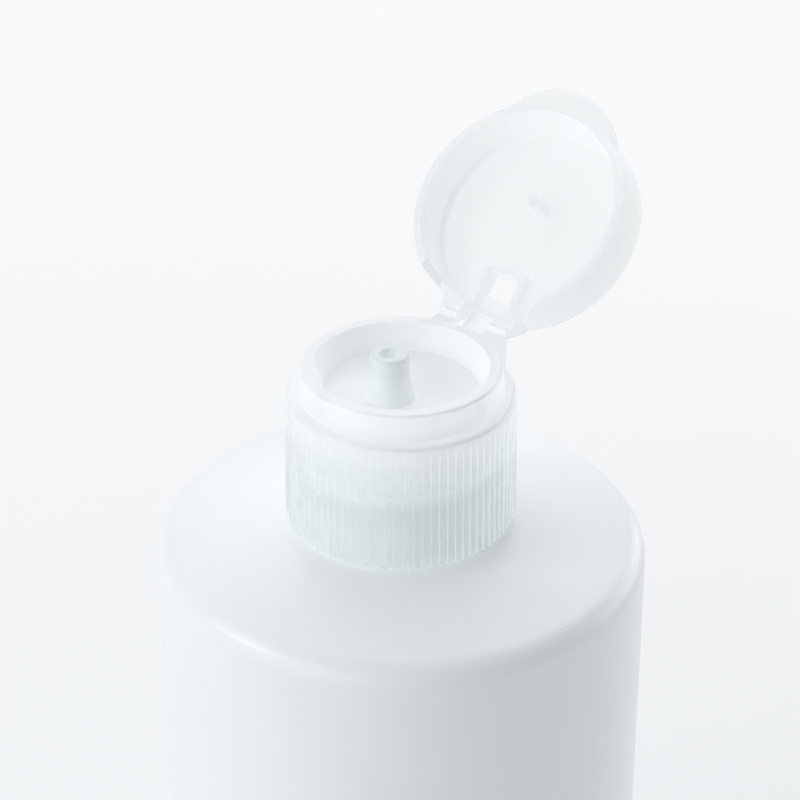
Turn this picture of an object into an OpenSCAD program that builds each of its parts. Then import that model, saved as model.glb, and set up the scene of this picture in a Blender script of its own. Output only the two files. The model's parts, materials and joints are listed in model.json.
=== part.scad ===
// Flip-top toiletry bottle: a blow-moulded bottle, a flat sealing ring, a screw-on dispensing cap
// with a nozzle, and a hinged lid that stands open. Millimetres, +Z up, origin at the centre of the
// base. The hinge is on the +Y side, and the thumb tab of the shut lid is on the -Y side.

/* [Bottle] */
// Outer diameter of the body
body_d = 60.8; // [52:0.2:80]
// Height of the straight side wall above the surface that the bottle stands on
side_h = 124.7; // [80:0.1:180]
// Radius of the domed shoulder
dome_r = 115; // [80:1:200]
// Radius of the rounded edge between the side wall and the shoulder
shoulder_edge_r = 3; // [2:0.1:5]
// Radius of the rounded edge of the base
base_edge_r = 3.4; // [2:0.1:6]
// Width of the flat ring that the bottle stands on
foot_ring_w = 3.5; // [2:0.1:6]
// Height of the hollow under the base
push_up_h = 2.6; // [1:0.1:5]
// Wall thickness of the bottle
wall_t = 1.2; // [0.8:0.1:1.8]

/* [Neck] */
// Outer diameter of the neck at the foot of its thread
neck_d = 21.8; // [21:0.1:22.4]
// Diameter of the mouth
mouth_d = 18.4; // [16:0.1:19]
// Height of the neck above the top of the dome
neck_h = 11.6; // [11.3:0.1:16]
// Thickness of the sealing ring on the lip
seal_t = 1; // [0.6:0.1:2]

/* [Cap] */
// Outer diameter of the cap at its ledge
cap_d = 28; // [27.4:0.1:29]
// How much wider the skirt is, on its radius, at its foot
skirt_flare = 0.26; // [0.1:0.01:0.5]
// Height of the skirt below the ledge
skirt_h = 16.4; // [13:0.1:16.6]
// Wall thickness of the skirt
skirt_t = 1.4; // [1:0.1:1.8]
// Depth of the lip of the neck below the ledge
lip_depth = 4.7; // [4.5:0.1:6]
// Number of grip ribs round the skirt
rib_count = 84; // [40:1:96]
// Depth of the grooves between the ribs at their upper ends
rib_depth = 0.08; // [0.05:0.01:0.35]
// Height of the plain band between the ledge and the ribs
plain_band_h = 1; // [0.8:0.1:6]

/* [Spigot and nozzle] */
// Diameter, at the ledge, of the spigot that the lid closes over
spigot_d = 25; // [24:0.1:25.2]
// Height of the spigot above the ledge
spigot_h = 3.5; // [2:0.1:3.6]
// Diameter of the recessed deck inside the spigot
deck_d = 18.8; // [16:0.1:20]
// Distance of the nozzle in front of the middle of the cap
nozzle_offset = 2.2; // [0:0.1:4]
// Height of the nozzle above the ledge
nozzle_h = 6; // [4.6:0.1:6.1]
// Diameter of the nozzle at its foot
nozzle_foot_d = 6.2; // [5.4:0.1:7]
// Diameter of the nozzle at its tip
nozzle_tip_d = 4.7; // [4:0.1:5]
// Diameter of the hole in the nozzle
orifice_d = 2.5; // [2.3:0.1:3]

/* [Lid] */
// Height of the shut lid above the ledge
lid_h = 7.4; // [7.3:0.1:10]
// Wall thickness of the lid
lid_t = 0.95; // [0.7:0.05:1.2]
// Thickness of the lid's flat panel
panel_t = 1; // [0.8:0.1:1.1]
// Angle between the shut lid and the open lid
open_deg = 136; // [110:1:140]
// How far the thumb tab stands out from the lid
tab_reach = 2.5; // [1:0.1:4]
// Width of the thumb tab where it leaves the lid
tab_w = 16; // [10:0.5:20]
// Length of the pin that stops the nozzle
pin_l = 4; // [1:0.1:4.4]

/* [Hinge] */
// Distance of the hinge line behind the middle of the cap
hinge_reach = 14.8; // [14.6:0.1:15.4]
// Height of the hinge line above the ledge
hinge_h = 3; // [2.6:0.1:3.4]
// Width of the hinge over both legs
hinge_w = 10.2; // [8:0.1:11]
// Width of the slot between the legs
slot_w = 4.8; // [4:0.1:5.4]

/* [Hidden] */
$fn = 96;
arc_steps = 8;

// Clearances, and the overrun of every cut
overrun = 1;
lid_seat_gap = 0.1;
bead_gap = 0.06;
post_gap = 0.35;
cheek_gap = 0.4;
tongue_gap = 0.25;

// Bottle
body_r = body_d / 2;
neck_r = neck_d / 2;
mouth_r = mouth_d / 2;
neck_root_r = 0.8;
lip_edge_r = 0.4;
base_x = body_r - base_edge_r;
hollow_r = base_x - foot_ring_w;
push_up_r = (hollow_r * hollow_r + push_up_h * push_up_h) / (2 * push_up_h);
push_up_z = push_up_h - push_up_r;
shoulder_x = body_r - shoulder_edge_r;
shoulder_rise = dome_r - sqrt(pow(dome_r - shoulder_edge_r, 2) - pow(shoulder_x, 2));
shoulder_deg = asin(shoulder_x / (dome_r - shoulder_edge_r));
dome_top_z = side_h + shoulder_rise;
dome_z = dome_top_z - dome_r;
neck_foot_x = neck_r + neck_root_r;
neck_foot_z = dome_z + sqrt(dome_r * dome_r - neck_foot_x * neck_foot_x);
lip_z = dome_top_z + neck_h;

// Cap, with heights taken from the ledge
ledge_z = lip_z + lip_depth;
cap_r = cap_d / 2;
ledge_edge_r = 0.6;
skirt_foot_r = cap_r + skirt_flare;
skirt_in_r = cap_r - skirt_t;
rib_pitch = 2 * PI * cap_r / rib_count;
groove_floor_share = 0.3;
groove_mouth_share = 0.6;
spigot_r = spigot_d / 2;
spigot_draft = 0.2;
spigot_edge_r = 0.4;
spigot_rim_w = 1.6;
spigot_top_r = spigot_r - spigot_draft;
deck_z = 0.2;
deck_t = 1.2;
deck_under_z = deck_z - deck_t;
land_w = 1.6;
land_z = seal_t - lip_depth;
nozzle_tip_r = nozzle_tip_d / 2;
nozzle_edge_r = 0.3;
nozzle_waist = (nozzle_foot_d - nozzle_tip_d) / 2;
nozzle_shaft_h = nozzle_h - nozzle_edge_r - deck_z;
nozzle_curve_r = (pow(nozzle_shaft_h, 2) + pow(nozzle_waist, 2)) / (2 * nozzle_waist);
nozzle_curve_deg = asin(nozzle_shaft_h / nozzle_curve_r);
orifice_r = orifice_d / 2;
funnel_r = 2;
funnel_h = 2;

// Hinge
post_w = (hinge_w - slot_w) / 2;
post_x = (hinge_w + slot_w) / 4;
bead_r = 0.45;
knuckle_r = 0.95;
knuckle_deg = 40;
post_face_y = hinge_reach - bead_r / 4;
post_root_y = spigot_top_r - spigot_rim_w;
post_chin = 0.6;
post_sink = 3.2;
tongue_t = 0.5;
tongue_root_z = tongue_t;
tongue_reach = hinge_h - tongue_root_z;
tongue_y = hinge_reach - tongue_reach * tan(open_deg / 4);
tongue_l = 2 * tongue_reach - tongue_gap;
web_t = tongue_y - tongue_t / 2 - tongue_gap - post_root_y;

// Lid, shut, with heights taken from the ledge
lid_r = cap_r;
lid_in_r = lid_r - lid_t;
lid_edge_r = 0.9;
lid_corner_r = 0.8;
panel_z = lid_h - panel_t;
leg_rise = 3.2;
leg_l = 3.6;
leg_root_w = 12.6;
leg_root_y = hinge_reach - leg_l;
rim_gap_w = 17.2;
rim_gap_top_w = leg_root_w + 2 * cheek_gap;
slot_top_z = hinge_h + tongue_reach + tongue_gap;
pocket_t = 0.6;
pocket_h = 1.6;
pocket_l = 6.2;
pocket_y = lid_in_r - pocket_l;
window_l = 3;
tab_z = 0.5;
tab_t = 2.4;
tab_root_y = sqrt(lid_r * lid_r - tab_w * tab_w / 4);
tab_sag = lid_r + tab_reach - tab_root_y;
tab_r = (tab_w * tab_w / 4 + tab_sag * tab_sag) / (2 * tab_sag);
pin_r = 1;
pin_tip_r = 0.6;
nub_r = 0.45;
nub_z = 1.3;
nub_show = 0.3;
nub_degs = [38, -38, 112, -112];

// Points of an arc round c, from angle a to angle b
function arc(c, r, a, b) =
    [for (i = [0:arc_steps]) let (t = a + (b - a) * i / arc_steps) c + r * [cos(t), sin(t)]];

// An outline in Y and Z made into a plate across the hinge, w wide and centred on x
module across(x, w) {
    translate([x - w / 2, 0, 0])
        rotate([90, 0, 90])
            linear_extrude(w)
                children();
}

// Both posts of the hinge
module at_both_posts() {
    for (side = [-1, 1])
        across(side * post_x, post_w)
            children();
}

// Turns a shut piece open by deg round the line at y and z
module opened(y, z, deg) {
    translate([0, y, z])
        rotate([-deg, 0, 0])
            translate([0, -y, -z])
                children();
}

// The bottle: one blown wall from the hollow under the base to the lip of the neck
module bottle() {
    inner_dome_r = dome_r - wall_t;
    inner_push_up_r = push_up_r + wall_t;
    outside = concat(
        arc([0, push_up_z], push_up_r, 90, acos(hollow_r / push_up_r)),
        arc([base_x, base_edge_r], base_edge_r, -90, 0),
        arc([shoulder_x, side_h], shoulder_edge_r, 0, 90 - shoulder_deg),
        arc([0, dome_z], dome_r, 90 - shoulder_deg, acos(neck_foot_x / dome_r)),
        arc([neck_foot_x, neck_foot_z + neck_root_r], neck_root_r, -90, -180),
        arc([neck_r - lip_edge_r, lip_z - lip_edge_r], lip_edge_r, 0, 90)
    );
    inside = concat(
        [[mouth_r, lip_z]],
        arc([0, dome_z], inner_dome_r, acos(mouth_r / inner_dome_r), 90 - shoulder_deg),
        arc([shoulder_x, side_h], shoulder_edge_r - wall_t, 90 - shoulder_deg, 0),
        arc([base_x, base_edge_r], base_edge_r - wall_t, 0, -90),
        arc([0, push_up_z], inner_push_up_r, acos(hollow_r / inner_push_up_r), 90)
    );
    color("white")
        rotate_extrude()
            polygon(concat(outside, inside));
}

// The soft ring that the cap presses on the lip
module sealing_ring() {
    color("whitesmoke")
        translate([0, 0, lip_z])
            linear_extrude(seal_t)
                difference() {
                    circle(mouth_r + land_w);
                    circle(mouth_r);
                }
}

// Cap without grip ribs, nozzle or hinge: skirt, ledge, spigot, deck and the land on the seal
module cap_shell() {
    spigot_edge = [spigot_top_r - spigot_edge_r, spigot_h - spigot_edge_r];
    rotate_extrude()
        polygon(concat(
            [[skirt_in_r, -skirt_h], [skirt_foot_r, -skirt_h]],
            arc([cap_r - ledge_edge_r, -ledge_edge_r], ledge_edge_r, 0, 90),
            [[spigot_r, 0]],
            arc(spigot_edge, spigot_edge_r, 0, 90),
            [
                [spigot_top_r - spigot_rim_w, spigot_h],
                [deck_d / 2, deck_z],
                [0, deck_z],
                [0, deck_under_z],
                [mouth_r, deck_under_z],
                [mouth_r, land_z],
                [mouth_r + land_w, land_z],
                [mouth_r + land_w, deck_under_z],
                [skirt_in_r, deck_under_z]
            ]
        ));
}

// The grooves that leave the grip ribs standing
module grip_grooves() {
    floor_w = rib_pitch * groove_floor_share;
    mouth_w = rib_pitch * groove_mouth_share;
    far_r = skirt_foot_r + overrun;
    translate([0, 0, -skirt_h - overrun])
        linear_extrude(skirt_h - plain_band_h + overrun)
            for (i = [0:rib_count - 1])
                rotate(360 * i / rib_count)
                    polygon([
                        [cap_r - rib_depth, -floor_w / 2],
                        [far_r, -mouth_w / 2],
                        [far_r, mouth_w / 2],
                        [cap_r - rib_depth, floor_w / 2]
                    ]);
}

// A hollow-sided nozzle, still without its hole
module nozzle_body() {
    tip_edge = [nozzle_tip_r - nozzle_edge_r, nozzle_h - nozzle_edge_r];
    curve_c = [nozzle_tip_r + nozzle_curve_r, nozzle_h - nozzle_edge_r];
    rotate_extrude()
        polygon(concat(
            [[0, deck_under_z], [nozzle_foot_d / 2, deck_under_z]],
            arc(curve_c, nozzle_curve_r, 180 + nozzle_curve_deg, 180),
            arc(tip_edge, nozzle_edge_r, 0, 90),
            [[0, nozzle_h]]
        ));
}

// The hole through the nozzle, with its funnel under the deck
module orifice() {
    translate([0, 0, deck_under_z - overrun])
        cylinder(h = nozzle_h - deck_under_z + 2 * overrun, r = orifice_r);
    translate([0, 0, deck_under_z])
        cylinder(h = funnel_h, r1 = funnel_r, r2 = orifice_r);
}

// Side view of a hinge post, which carries the hinge bead at its outer top edge
module post_outline() {
    polygon([
        [skirt_in_r, -post_sink],
        [cap_r, -post_sink],
        [post_face_y, -post_chin],
        [post_face_y, hinge_h - post_gap],
        [post_root_y, hinge_h - post_gap],
        [post_root_y, deck_under_z / 2],
        [skirt_in_r, deck_under_z / 2]
    ]);
    translate([hinge_reach, hinge_h])
        circle(bead_r);
}

// The low wall between the posts, in front of the tongue
module post_web() {
    translate([-slot_w / 2 - overrun, post_root_y, deck_under_z / 2])
        cube([slot_w + 2 * overrun, web_t, hinge_h - post_gap - deck_under_z / 2]);
}

// The screw-on cap with its ribbed skirt, nozzle and hinge posts
module cap_base() {
    color("lightcyan")
        translate([0, 0, ledge_z])
            difference() {
                union() {
                    difference() {
                        cap_shell();
                        grip_grooves();
                    }
                    translate([0, -nozzle_offset, 0])
                        nozzle_body();
                    at_both_posts()
                        post_outline();
                    post_web();
                }
                translate([0, -nozzle_offset, 0])
                    orifice();
            }
}

// The spring tongue between the hinge legs, which bends half as far as the lid turns
module hinge_tongue() {
    color("lightcyan")
        translate([0, 0, ledge_z])
            opened(tongue_y, tongue_root_z, open_deg / 2)
                across(0, slot_w - 2 * cheek_gap) {
                    translate([tongue_y - tongue_t / 2, tongue_root_z])
                        square([tongue_t, tongue_l]);
                    translate([tongue_y, tongue_root_z])
                        circle(tongue_t / 2);
                }
}

// The lid's cup and thumb tab, shut, still without its hinge
module lid_cup() {
    difference() {
        union() {
            rotate_extrude()
                polygon(concat(
                    [[0, lid_seat_gap], [lid_r, lid_seat_gap]],
                    arc([lid_r - lid_edge_r, lid_h - lid_edge_r], lid_edge_r, 0, 90),
                    [[0, lid_h]]
                ));
            translate([0, tab_r - lid_r - tab_reach, tab_z])
                cylinder(h = tab_t, r = tab_r);
        }
        rotate_extrude()
            polygon(concat(
                [[0, -overrun], [lid_in_r, -overrun]],
                arc([lid_in_r - lid_corner_r, panel_z - lid_corner_r], lid_corner_r, 0, 90),
                [[0, panel_z]]
            ));
    }
}

// Side view of a hinge leg of the lid, which turns on the bead
module leg_outline() {
    difference() {
        polygon([
            [leg_root_y, hinge_h],
            [hinge_reach, hinge_h],
            [hinge_reach + knuckle_r * sin(knuckle_deg), hinge_h + knuckle_r * cos(knuckle_deg)],
            [lid_r - lid_t / 2, hinge_h + leg_rise],
            [leg_root_y, hinge_h + leg_rise]
        ]);
        translate([hinge_reach, hinge_h])
            circle(bead_r + bead_gap);
    }
}

// Plan of both legs, which spread towards the lid's wall
module leg_plan() {
    far_y = hinge_reach + knuckle_r;
    difference() {
        polygon([
            [-leg_root_w / 2, leg_root_y],
            [leg_root_w / 2, leg_root_y],
            [hinge_w / 2, hinge_reach],
            [hinge_w / 2, far_y],
            [-hinge_w / 2, far_y],
            [-hinge_w / 2, hinge_reach]
        ]);
        translate([-slot_w / 2, 0])
            square([slot_w, far_y + overrun]);
        circle(lid_r - lid_t / 2);
    }
}

// Both hinge legs of the lid
module lid_legs() {
    intersection() {
        across(0, leg_root_w)
            leg_outline();
        linear_extrude(lid_h)
            leg_plan();
    }
}

// The part of the lid's rim that is left away over the hinge, so that it swings clear of the spigot
module rim_gap() {
    translate([0, lid_r + overrun, 0])
        rotate([90, 0, 0])
            linear_extrude(lid_r + overrun)
                polygon([
                    [-rim_gap_w / 2, -overrun],
                    [rim_gap_w / 2, -overrun],
                    [rim_gap_w / 2, lid_seat_gap],
                    [rim_gap_top_w / 2, hinge_h],
                    [-rim_gap_top_w / 2, hinge_h],
                    [-rim_gap_w / 2, lid_seat_gap]
                ]);
}

// Walls inside the lid round the slot where the tongue stands
module pocket() {
    outer_w = slot_w + 2 * pocket_t;
    translate([-outer_w / 2, pocket_y, panel_z - pocket_h])
        difference() {
            cube([outer_w, pocket_l + lid_t / 2, pocket_h + panel_t / 2]);
            translate([pocket_t, pocket_t, -overrun])
                cube([slot_w, pocket_l + lid_t, pocket_h + overrun]);
            translate([pocket_t, pocket_t, 0])
                cube([slot_w, window_l, pocket_h + panel_t]);
        }
}

// The flip lid, standing open
module lid() {
    color("azure")
        translate([0, 0, ledge_z])
            opened(hinge_reach, hinge_h, open_deg) {
                difference() {
                    lid_cup();
                    rim_gap();
                    translate([-slot_w / 2, pocket_y, hinge_h - overrun])
                        cube([slot_w, pocket_l + lid_t + overrun, slot_top_z - hinge_h + overrun]);
                    translate([-slot_w / 2, pocket_y + pocket_t, panel_z - overrun])
                        cube([slot_w, window_l, panel_t + 2 * overrun]);
                }
                lid_legs();
                pocket();
                translate([0, -nozzle_offset, panel_z - pin_l])
                    cylinder(h = pin_l + panel_t / 2, r1 = pin_tip_r, r2 = pin_r);
                for (deg = nub_degs)
                    rotate(deg - 90)
                        translate([lid_in_r + nub_r - nub_show, 0, nub_z])
                            sphere(nub_r);
            }
}

bottle();
sealing_ring();
cap_base();
hinge_tongue();
lid();
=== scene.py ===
import json
import math

import bmesh
import bpy
from mathutils import Matrix, Vector


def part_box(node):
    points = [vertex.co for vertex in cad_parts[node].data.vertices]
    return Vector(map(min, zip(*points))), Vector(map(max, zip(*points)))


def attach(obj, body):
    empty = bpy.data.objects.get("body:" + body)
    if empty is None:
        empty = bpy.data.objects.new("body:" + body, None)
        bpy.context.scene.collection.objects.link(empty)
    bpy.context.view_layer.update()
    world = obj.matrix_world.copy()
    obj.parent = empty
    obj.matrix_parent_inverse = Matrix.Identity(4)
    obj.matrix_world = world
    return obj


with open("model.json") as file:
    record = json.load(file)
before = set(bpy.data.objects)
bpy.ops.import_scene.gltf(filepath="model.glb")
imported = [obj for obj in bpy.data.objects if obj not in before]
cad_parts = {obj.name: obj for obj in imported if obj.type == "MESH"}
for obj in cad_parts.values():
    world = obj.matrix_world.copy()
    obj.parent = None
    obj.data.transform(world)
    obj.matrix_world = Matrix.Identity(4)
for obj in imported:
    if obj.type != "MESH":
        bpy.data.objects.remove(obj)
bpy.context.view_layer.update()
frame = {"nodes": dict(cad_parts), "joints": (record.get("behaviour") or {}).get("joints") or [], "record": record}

MM = 0.001

# Places taken from the frame
JOINTS = {joint["name"]: joint for joint in frame["joints"]}
HINGE = Vector(JOINTS["lid_flip"]["pos_m"])
HINGE_ABOVE_LEDGE = 3.0 * MM
LEDGE_Z = HINGE.z - HINGE_ABOVE_LEDGE
LIP_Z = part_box("sealing_ring")[0].z

# The camera, as the object is seen from above its front left
VIEW_BEARING_DEG = 37.5
VIEW_ELEVATION_DEG = 30.46
VIEW_DISTANCE = 339.3 * MM
VIEW_LENS_MM = 126.3
VIEW_CLIP_START = 10 * MM
SENSOR_MM = 36
AIM_BELOW_LEDGE = 1.458 * MM
AIM_LEFT = 0.129 * MM

# Threads: a right-hand helix on the neck, and one in the skirt that runs between its turns
THREAD_PITCH = 2 * math.pi * frame["record"]["behaviour"]["couplings"][0]["ratio"]
THREAD_TURNS = 1.6
THREAD_STEPS = 72
THREAD_FADE_TURNS = 0.14
THREAD_LEAST_HEIGHT = 0.02
THREAD_EDGE = 0.2 * MM
THREAD_EDGE_STEPS = 3
NECK_THREAD = {"root": 10.8 * MM, "crest": 11.85 * MM, "foot_w": 1.7 * MM, "crest_w": 0.7 * MM}
SKIRT_THREAD = {"root": 12.7 * MM, "crest": 11.4 * MM, "foot_w": 1.4 * MM, "crest_w": 0.5 * MM}
NECK_THREAD_BELOW_LIP = 2.0 * MM

# White plastic of the bottle: the waves of its blown wall and its grain, in waves per metre
BOTTLE_TONES = (0.825, 0.855, 0.868, 1), (0.855, 0.882, 0.895, 1)
BOTTLE_IOR = 1.5
BOTTLE_ROUGH = 0.24
BOTTLE_WAVES = 90
BOTTLE_WAVE_ROUGH = 0.1
BOTTLE_GRAIN = 1400
BOTTLE_GRAIN_ROUGH = 0.06
BOTTLE_GRAIN_DEPTH = 0.02 * MM
BOTTLE_GRAIN_STRENGTH = 0.3
BOTTLE_SOFTNESS = 0.2
BOTTLE_SOFT_DEPTH = 1.2 * MM

# Milky plastic: how far it covers what is behind it, the share of it that shines with the light of its
# far side, how much of a lamp's light passes it, and its roughness
CAP_PLASTIC = {"cover": 0.3, "glow": 0.31, "passing": 0.9, "rough": 0.14}
THREAD_PLASTIC = {"cover": 0.1, "glow": 0.1, "passing": 0.95, "rough": 0.14}
LID_PLASTIC = {"cover": 0.34, "glow": 0.15, "passing": 0.75, "rough": 0.16}
MILKY_TONES = (0.92, 0.945, 0.95, 1), (0.95, 0.97, 0.975, 1)
LID_TONES = (0.905, 0.925, 0.928, 1), (0.935, 0.953, 0.956, 1)
SHINE_TONE = (0.81, 0.823, 0.827, 1)
PASSING_TINT = 1, 1.01, 1.015
MILKY_IOR = 1.49
MILKY_HAZE = 160
MILKY_HAZE_ROUGH = 0.08
MILKY_GRAIN = 2200
MILKY_GRAIN_ROUGH = 0.05
MILKY_GRAIN_DEPTH = 0.01 * MM
MILKY_GRAIN_STRENGTH = 0.25

# Zones of the cap, with heights from its ledge: the thick top (more opaque, greyer as painted shade), the spigot's
# wall (lighter as painted light) and the nozzle (darker as painted shade)
DECK_HEIGHTS = -7 * MM, -2 * MM
# Painted shade: the thick top gets a greyer tone than the rest of the same plastic
DECK_PAINTED_SHADE = (0.855, 0.87, 0.871, 1)
DECK_COVER = 0.88
DECK_GLOW = 0.27
SPIGOT_HEIGHTS = 0.4 * MM, 1.4 * MM
SPIGOT_INSIDE = 9.0 * MM
SPIGOT_EDGE = 0.8 * MM
# Painted light: the spigot's wall gets a lighter tone than the deck
SPIGOT_PAINTED_LIGHT = (0.91, 0.925, 0.927, 1)
NOZZLE_HEIGHTS = 0.3 * MM, 4 * MM
NOZZLE_OFFSET = 2.2 * MM
NOZZLE_REACH = 3.0 * MM
NOZZLE_EDGE = 0.6 * MM
# Painted shade: the nozzle gets a darker, bluer tone, and the dimmer takes away part of its glow
NOZZLE_PAINTED_SHADE = (0.76, 0.81, 0.815, 1)
NOZZLE_SHADE_DIMMER = 0.6
# Painted shade: faces that look upwards lose this share of their glow
UPWARD_SHADE_DIMMER = 0.75

# Foam of the sealing ring
FOAM_TONES = (0.74, 0.75, 0.75, 1), (0.84, 0.85, 0.85, 1)
FOAM_PORES = 3500
FOAM_ROUGH = 0.6
FOAM_PORE_ROUGH = 0.2
FOAM_PORE_DEPTH = 0.06 * MM
FOAM_PORE_STRENGTH = 0.6

# Studio
FLOOR_SIZE = 6.0
FLOOR_COLOUR = (0.915, 0.932, 0.937, 1)
FLOOR_MOTTLE = 9
FLOOR_MOTTLE_TONE = 0.99
FLOOR_ROUGH = 0.85
FLOOR_GLOSS = 0.1
FAR_FLOOR_COLOUR = (0.942, 0.957, 0.966, 1)
FLOOR_NEAR = 0.12
FLOOR_FADE = 0.35
SKY_STRENGTH = 0.36
SKY_COLOUR = (0.97, 0.985, 1.0, 1)

# Lamps: the bearing from the camera's side, positive to its right, and the elevation, in degrees, then
# the distance, the width and the height in metres, and the power in watts
LAMPS = {
    "left": (-60, 25, 0.9, 0.6, 0.8, 1.85),
    "left_high": (-80, 36, 0.9, 0.3, 0.3, 1.72),
    "back_left_high": (-140, 55, 0.9, 0.7, 0.7, 1.42),
    "back": (180, 30, 1.0, 0.8, 0.7, 1.4),
    "back_right": (150, 35, 0.9, 0.7, 0.8, 1.35),
    "right": (120, 9, 0.95, 1.0, 0.5, 3.4),
    "front": (-25, 12, 1.0, 0.6, 0.6, 1.4),
}


class Shade:
    """A socket of a node tree. Operators on it add Math nodes, and node() adds any other node."""

    def __init__(self, tree, socket=None):
        self.tree = tree
        self.socket = socket

    def node(self, kind, settings=None, inputs=None, output=0):
        made = self.tree.nodes.new("ShaderNode" + kind)
        for name, value in (settings or {}).items():
            setattr(made, name, value)
        for name, value in (inputs or {}).items():
            if isinstance(value, Shade):
                self.tree.links.new(value.socket, made.inputs[name])
            else:
                made.inputs[name].default_value = value
        return Shade(self.tree, made.outputs[output] if made.outputs else None)

    def math(self, operation, first, second):
        return self.node("Math", {"operation": operation}, {0: first, 1: second})

    def __add__(self, other):
        return self.math("ADD", self, other)

    def __sub__(self, other):
        return self.math("SUBTRACT", self, other)

    def __rsub__(self, other):
        return self.math("SUBTRACT", other, self)

    def __mul__(self, other):
        return self.math("MULTIPLY", self, other)

    def clamp(self):
        return self.node("Clamp", inputs={"Value": self})

    __radd__ = __add__
    __rmul__ = __mul__


def new_material(name):
    """An empty material and the start of its node tree."""
    made = bpy.data.materials.new(name)
    made.use_nodes = True
    made.node_tree.nodes.clear()
    return made, Shade(made.node_tree)


def end_material(shade, surface):
    """Makes surface the material's output."""
    shade.node("OutputMaterial", inputs={"Surface": surface})


def noise(shade, scale, detail):
    """Noise over the object's own space, with scale in waves per metre, from about 0 to 1."""
    place = shade.node("TexCoord", output="Object")
    return shade.node("TexNoise", inputs={"Vector": place, "Scale": scale, "Detail": detail})


def mixed_colour(shade, factor, first, second):
    """A colour between two."""
    inputs = {"Factor": factor, 6: first, 7: second}
    return shade.node("Mix", {"data_type": "RGBA"}, inputs, output=2)


def bump(shade, height, distance, strength):
    """A normal from a height between 0 and 1, which stands for a depth of distance."""
    inputs = {"Height": height, "Distance": distance, "Strength": strength}
    return shade.node("Bump", inputs=inputs)


def upward_part(shade, coordinate):
    """The upward part of the place or the normal, both in the object's own space."""
    vector = shade.node("TexCoord", output=coordinate)
    return shade.node("SeparateXYZ", inputs={0: vector}, output="Z")


def nearness(shade, x, y, reach, edge):
    """1 within reach of an upright line through x and y in the object's own space, 0 beyond its edge."""
    place = shade.node("TexCoord", output="Object")
    flat = shade.node("VectorMath", {"operation": "MULTIPLY"}, {0: place, 1: (1, 1, 0)})
    ends = {0: flat, 1: (x, y, 0)}
    away = shade.node("VectorMath", {"operation": "DISTANCE"}, ends, output="Value")
    return ((reach + edge - away) * (1 / edge)).clamp()


def above_ledge(shade, low, high):
    """0 below the height low and 1 above the height high, both from the ledge of the cap."""
    z = upward_part(shade, "Object")
    return ((z - (LEDGE_Z + low)) * (1 / (high - low))).clamp()


def seen_ray(shade):
    """1 where the camera, a gloss or a clear wall looks at a surface, and 0 for its light on others."""
    seen = shade.node("LightPath", output="Is Camera Ray")
    for ray in ("Is Glossy Ray", "Is Transmission Ray"):
        seen = (seen + shade.node("LightPath", output=ray)).clamp()
    return seen


def bottle_plastic():
    """Opaque white polyethylene: a soft gloss over the faint waves of a blown wall."""
    made, shade = new_material("bottle_white")
    waves = noise(shade, BOTTLE_WAVES, detail=1.0)
    grain = noise(shade, BOTTLE_GRAIN, detail=2.0)
    surface = shade.node("BsdfPrincipled", inputs={
        "Base Color": mixed_colour(shade, waves, *BOTTLE_TONES),
        "Roughness": BOTTLE_ROUGH + BOTTLE_WAVE_ROUGH * waves + BOTTLE_GRAIN_ROUGH * grain,
        "IOR": BOTTLE_IOR,
        "Subsurface Weight": BOTTLE_SOFTNESS,
        "Subsurface Radius": (1.0, 1.0, 1.0),
        "Subsurface Scale": BOTTLE_SOFT_DEPTH,
        "Normal": bump(shade, grain, BOTTLE_GRAIN_DEPTH, BOTTLE_GRAIN_STRENGTH),
    })
    end_material(shade, surface)
    return made


def cap_zones(shade, tint, cover, glow):
    """The tint, cover and glow of the cap: a more opaque thick deck with a greyer tone of painted shade, a lighter
    tone of painted light on the spigot's wall, a darker tone and less glow on the nozzle as painted shade, and
    less glow on upward faces as painted shade.
    """
    deck = above_ledge(shade, *DECK_HEIGHTS)
    # Mask of the painted light on the spigot's wall
    spigot = above_ledge(shade, *SPIGOT_HEIGHTS)
    spigot = spigot * (1 - nearness(shade, 0, 0, SPIGOT_INSIDE, SPIGOT_EDGE))
    # Mask of the painted shade on the nozzle
    nozzle = above_ledge(shade, *NOZZLE_HEIGHTS)
    nozzle = nozzle * nearness(shade, 0, -NOZZLE_OFFSET, NOZZLE_REACH, NOZZLE_EDGE)
    # Mask of the painted shade on faces that look upwards
    upward_shade = upward_part(shade, "Normal").clamp()
    # Tones of painted shade on the thick deck and the nozzle, and of painted light on the spigot's wall
    tint = mixed_colour(shade, deck, tint, DECK_PAINTED_SHADE)
    tint = mixed_colour(shade, nozzle, tint, NOZZLE_PAINTED_SHADE)
    tint = mixed_colour(shade, spigot, tint, SPIGOT_PAINTED_LIGHT)
    cover = cover + (DECK_COVER - cover) * deck
    # The glow rises on the thick deck, and falls on the nozzle and on upward faces as painted shade
    glow = (glow + DECK_GLOW * deck) * (1 - NOZZLE_SHADE_DIMMER * nozzle) * (1 - UPWARD_SHADE_DIMMER * upward_shade)
    return tint, cover, glow


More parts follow.
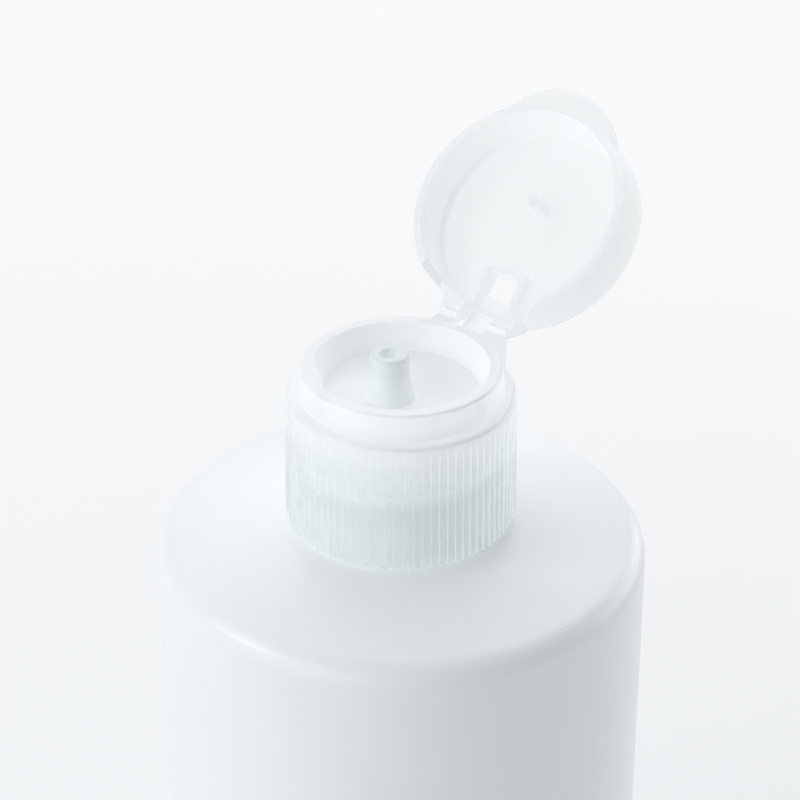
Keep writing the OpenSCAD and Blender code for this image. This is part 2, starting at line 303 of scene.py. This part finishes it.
def milky_plastic(name, tones, cover, glow, passing, rough, zones=None):
    """Natural polypropylene: a soft gloss on a milky wall that glows and shows what is behind it."""
    made, shade = new_material(name)
    haze = noise(shade, MILKY_HAZE, detail=2.0)
    grain = noise(shade, MILKY_GRAIN, detail=2.0)
    tint = mixed_colour(shade, haze, *tones)
    if zones:
        tint, cover, glow = zones(shade, tint, cover, glow)
    body = shade.node("BsdfPrincipled", inputs={
        "Base Color": tint,
        "Roughness": rough + MILKY_HAZE_ROUGH * haze + MILKY_GRAIN_ROUGH * grain,
        "IOR": MILKY_IOR,
        "Alpha": cover,
        "Normal": bump(shade, grain, MILKY_GRAIN_DEPTH, MILKY_GRAIN_STRENGTH),
    })
    shine = shade.node("BsdfTranslucent", inputs={"Color": SHINE_TONE})
    wall = shade.node("MixShader", inputs={0: glow, 1: body, 2: shine})
    lamp_ray = shade.node("LightPath", output="Is Shadow Ray")
    passed = tuple(passing * part for part in PASSING_TINT) + (1,)
    clear = shade.node("BsdfTransparent", inputs={"Color": passed})
    end_material(shade, shade.node("MixShader", inputs={0: lamp_ray, 1: wall, 2: clear}))
    return made


def seal_foam():
    """Soft pale foam with fine pores."""
    made, shade = new_material("seal_foam")
    pores = noise(shade, FOAM_PORES, detail=3.0)
    surface = shade.node("BsdfPrincipled", inputs={
        "Base Color": mixed_colour(shade, pores, *FOAM_TONES),
        "Roughness": FOAM_ROUGH + FOAM_PORE_ROUGH * pores,
        "Normal": bump(shade, pores, FOAM_PORE_DEPTH, FOAM_PORE_STRENGTH),
    })
    end_material(shade, surface)
    return made


def floor_paper():
    """Matt white paper with a faint mottle, which fades into a pale backdrop far from the object."""
    made, shade = new_material("floor_paper")
    mottle = noise(shade, FLOOR_MOTTLE, detail=3.0)
    darker = tuple(part * FLOOR_MOTTLE_TONE for part in FLOOR_COLOUR[:3]) + (1,)
    paper = shade.node("BsdfPrincipled", inputs={
        "Base Color": mixed_colour(shade, mottle, darker, FLOOR_COLOUR),
        "Roughness": FLOOR_ROUGH,
        "Specular IOR Level": FLOOR_GLOSS,
    })
    far = 1 - nearness(shade, 0, 0, FLOOR_NEAR, FLOOR_FADE)
    backdrop = shade.node("Emission", inputs={"Color": FAR_FLOOR_COLOUR})
    inputs = {0: far * seen_ray(shade), 1: paper, 2: backdrop}
    end_material(shade, shade.node("MixShader", inputs=inputs))
    return made


def new_object(name, data):
    """An object in the scene."""
    made = bpy.data.objects.new(name, data)
    bpy.context.scene.collection.objects.link(made)
    return made


def mesh_from(name, points, faces):
    """A mesh object with consistent outward normals."""
    mesh = bpy.data.meshes.new(name)
    mesh.from_pydata(points, [], faces)
    shape = bmesh.new()
    shape.from_mesh(mesh)
    bmesh.ops.recalc_face_normals(shape, faces=shape.faces)
    shape.to_mesh(mesh)
    shape.free()
    return new_object(name, mesh)


def ring_faces(rows, columns):
    """Quads between rows of points that each close on themselves, with both ends capped."""
    faces = []
    for i in range(rows - 1):
        row = i * columns
        above = row + columns
        for j in range(columns):
            k = (j + 1) % columns
            faces.append((row + j, row + k, above + k, above + j))
    faces.append(tuple(range(columns)))
    faces.append(tuple((rows - 1) * columns + j for j in range(columns)))
    return faces


def thread(name, size, start_z):
    """A helical ridge from a root radius to a crest radius, which fades out at both ends."""
    half_foot = size["foot_w"] / 2
    half_crest = size["crest_w"] / 2
    rows = int(THREAD_TURNS * THREAD_STEPS) + 1
    points = []
    for i in range(rows):
        turn = i / THREAD_STEPS
        fade = min(1, turn / THREAD_FADE_TURNS, (THREAD_TURNS - turn) / THREAD_FADE_TURNS)
        fade = max(THREAD_LEAST_HEIGHT, math.sin(fade * math.pi / 2))
        crest = size["root"] + (size["crest"] - size["root"]) * fade
        angle = 2 * math.pi * turn
        z = start_z + THREAD_PITCH * turn
        section = [
            (size["root"], -half_foot),
            (crest, -half_crest),
            (crest, half_crest),
            (size["root"], half_foot),
        ]
        for radius, rise in section:
            points.append((radius * math.cos(angle), radius * math.sin(angle), z + rise))
    made = mesh_from(name, points, ring_faces(rows, len(section)))
    edge = made.modifiers.new("rounded_edges", "BEVEL")
    edge.width = THREAD_EDGE
    edge.segments = THREAD_EDGE_STEPS
    edge.limit_method = "ANGLE"
    made.data.shade_smooth()
    return made


def dress(name, material):
    """Gives a solid of the frame its material."""
    node = frame["nodes"][name]
    node.data.materials.clear()
    node.data.materials.append(material)


def direction(bearing_deg, elevation_deg):
    """The way from the object towards a bearing, counted from the camera's side to its right."""
    a = math.radians(VIEW_BEARING_DEG + bearing_deg)
    e = math.radians(elevation_deg)
    return Vector((math.sin(a) * math.cos(e), -math.cos(a) * math.cos(e), math.sin(e)))


def facing(place, target):
    """A matrix at place whose -Z looks at target, with +Y up."""
    turn = (target - place).to_track_quat("-Z", "Y").to_matrix().to_4x4()
    return Matrix.Translation(place) @ turn


def make_camera():
    """The camera, aimed at the cap."""
    camera = new_object("camera", bpy.data.cameras.new("camera"))
    camera.data.sensor_width = SENSOR_MM
    camera.data.lens = VIEW_LENS_MM
    camera.data.clip_start = VIEW_CLIP_START
    a = math.radians(VIEW_BEARING_DEG)
    right = Vector((math.cos(a), math.sin(a), 0))
    aim = Vector((0, 0, LEDGE_Z - AIM_BELOW_LEDGE)) - AIM_LEFT * right
    camera.matrix_world = facing(aim + VIEW_DISTANCE * direction(0, VIEW_ELEVATION_DEG), aim)
    bpy.context.scene.camera = camera


def make_floor():
    """The sheet that the bottle stands on."""
    half = FLOOR_SIZE / 2
    corners = [(-half, -half, 0), (half, -half, 0), (half, half, 0), (-half, half, 0)]
    floor = mesh_from("floor", corners, [(0, 1, 2, 3)])
    floor.data.materials.append(floor_paper())


def make_lamps():
    """Flat lamps round the bottle, all aimed at its cap."""
    target = Vector((0, 0, LEDGE_Z))
    for name, (bearing, elevation, distance, width, height, power) in LAMPS.items():
        light = bpy.data.lights.new(name, "AREA")
        light.shape = "RECTANGLE"
        light.size = width
        light.size_y = height
        light.energy = power
        lamp = new_object(name, light)
        lamp.matrix_world = facing(target + distance * direction(bearing, elevation), target)


def make_sky():
    """Even light from all round, and white where the camera, a gloss or a clear wall looks into it."""
    world = bpy.data.worlds.new("studio")
    world.use_nodes = True
    world.node_tree.nodes.clear()
    shade = Shade(world.node_tree)
    strength = SKY_STRENGTH + (1 - SKY_STRENGTH) * seen_ray(shade)
    light = shade.node("Background", inputs={"Color": SKY_COLOUR, "Strength": strength})
    shade.node("OutputWorld", inputs={"Surface": light})
    bpy.context.scene.world = world


def make_threads(bottle_white):
    """The threads on the neck and in the skirt, which stay clear of each other as the cap turns."""
    start_z = LIP_Z - NECK_THREAD_BELOW_LIP - THREAD_PITCH * THREAD_TURNS
    neck = thread("neck_thread", NECK_THREAD, start_z)
    neck.data.materials.append(bottle_white)
    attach(neck, "bottle")
    skirt = thread("skirt_thread", SKIRT_THREAD, start_z - THREAD_PITCH / 2)
    skirt.data.materials.append(milky_plastic("thread_milky", MILKY_TONES, **THREAD_PLASTIC))
    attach(skirt, "cap")


bpy.context.scene.view_settings.view_transform = "Standard"
bottle_white = bottle_plastic()
cap_milky = milky_plastic("cap_milky", MILKY_TONES, **CAP_PLASTIC, zones=cap_zones)
dress("bottle", bottle_white)
dress("cap_base", cap_milky)
dress("hinge_tongue", cap_milky)
dress("lid", milky_plastic("lid_milky", LID_TONES, **LID_PLASTIC))
dress("sealing_ring", seal_foam())
make_threads(bottle_white)
make_camera()
make_floor()
make_lamps()
make_sky()
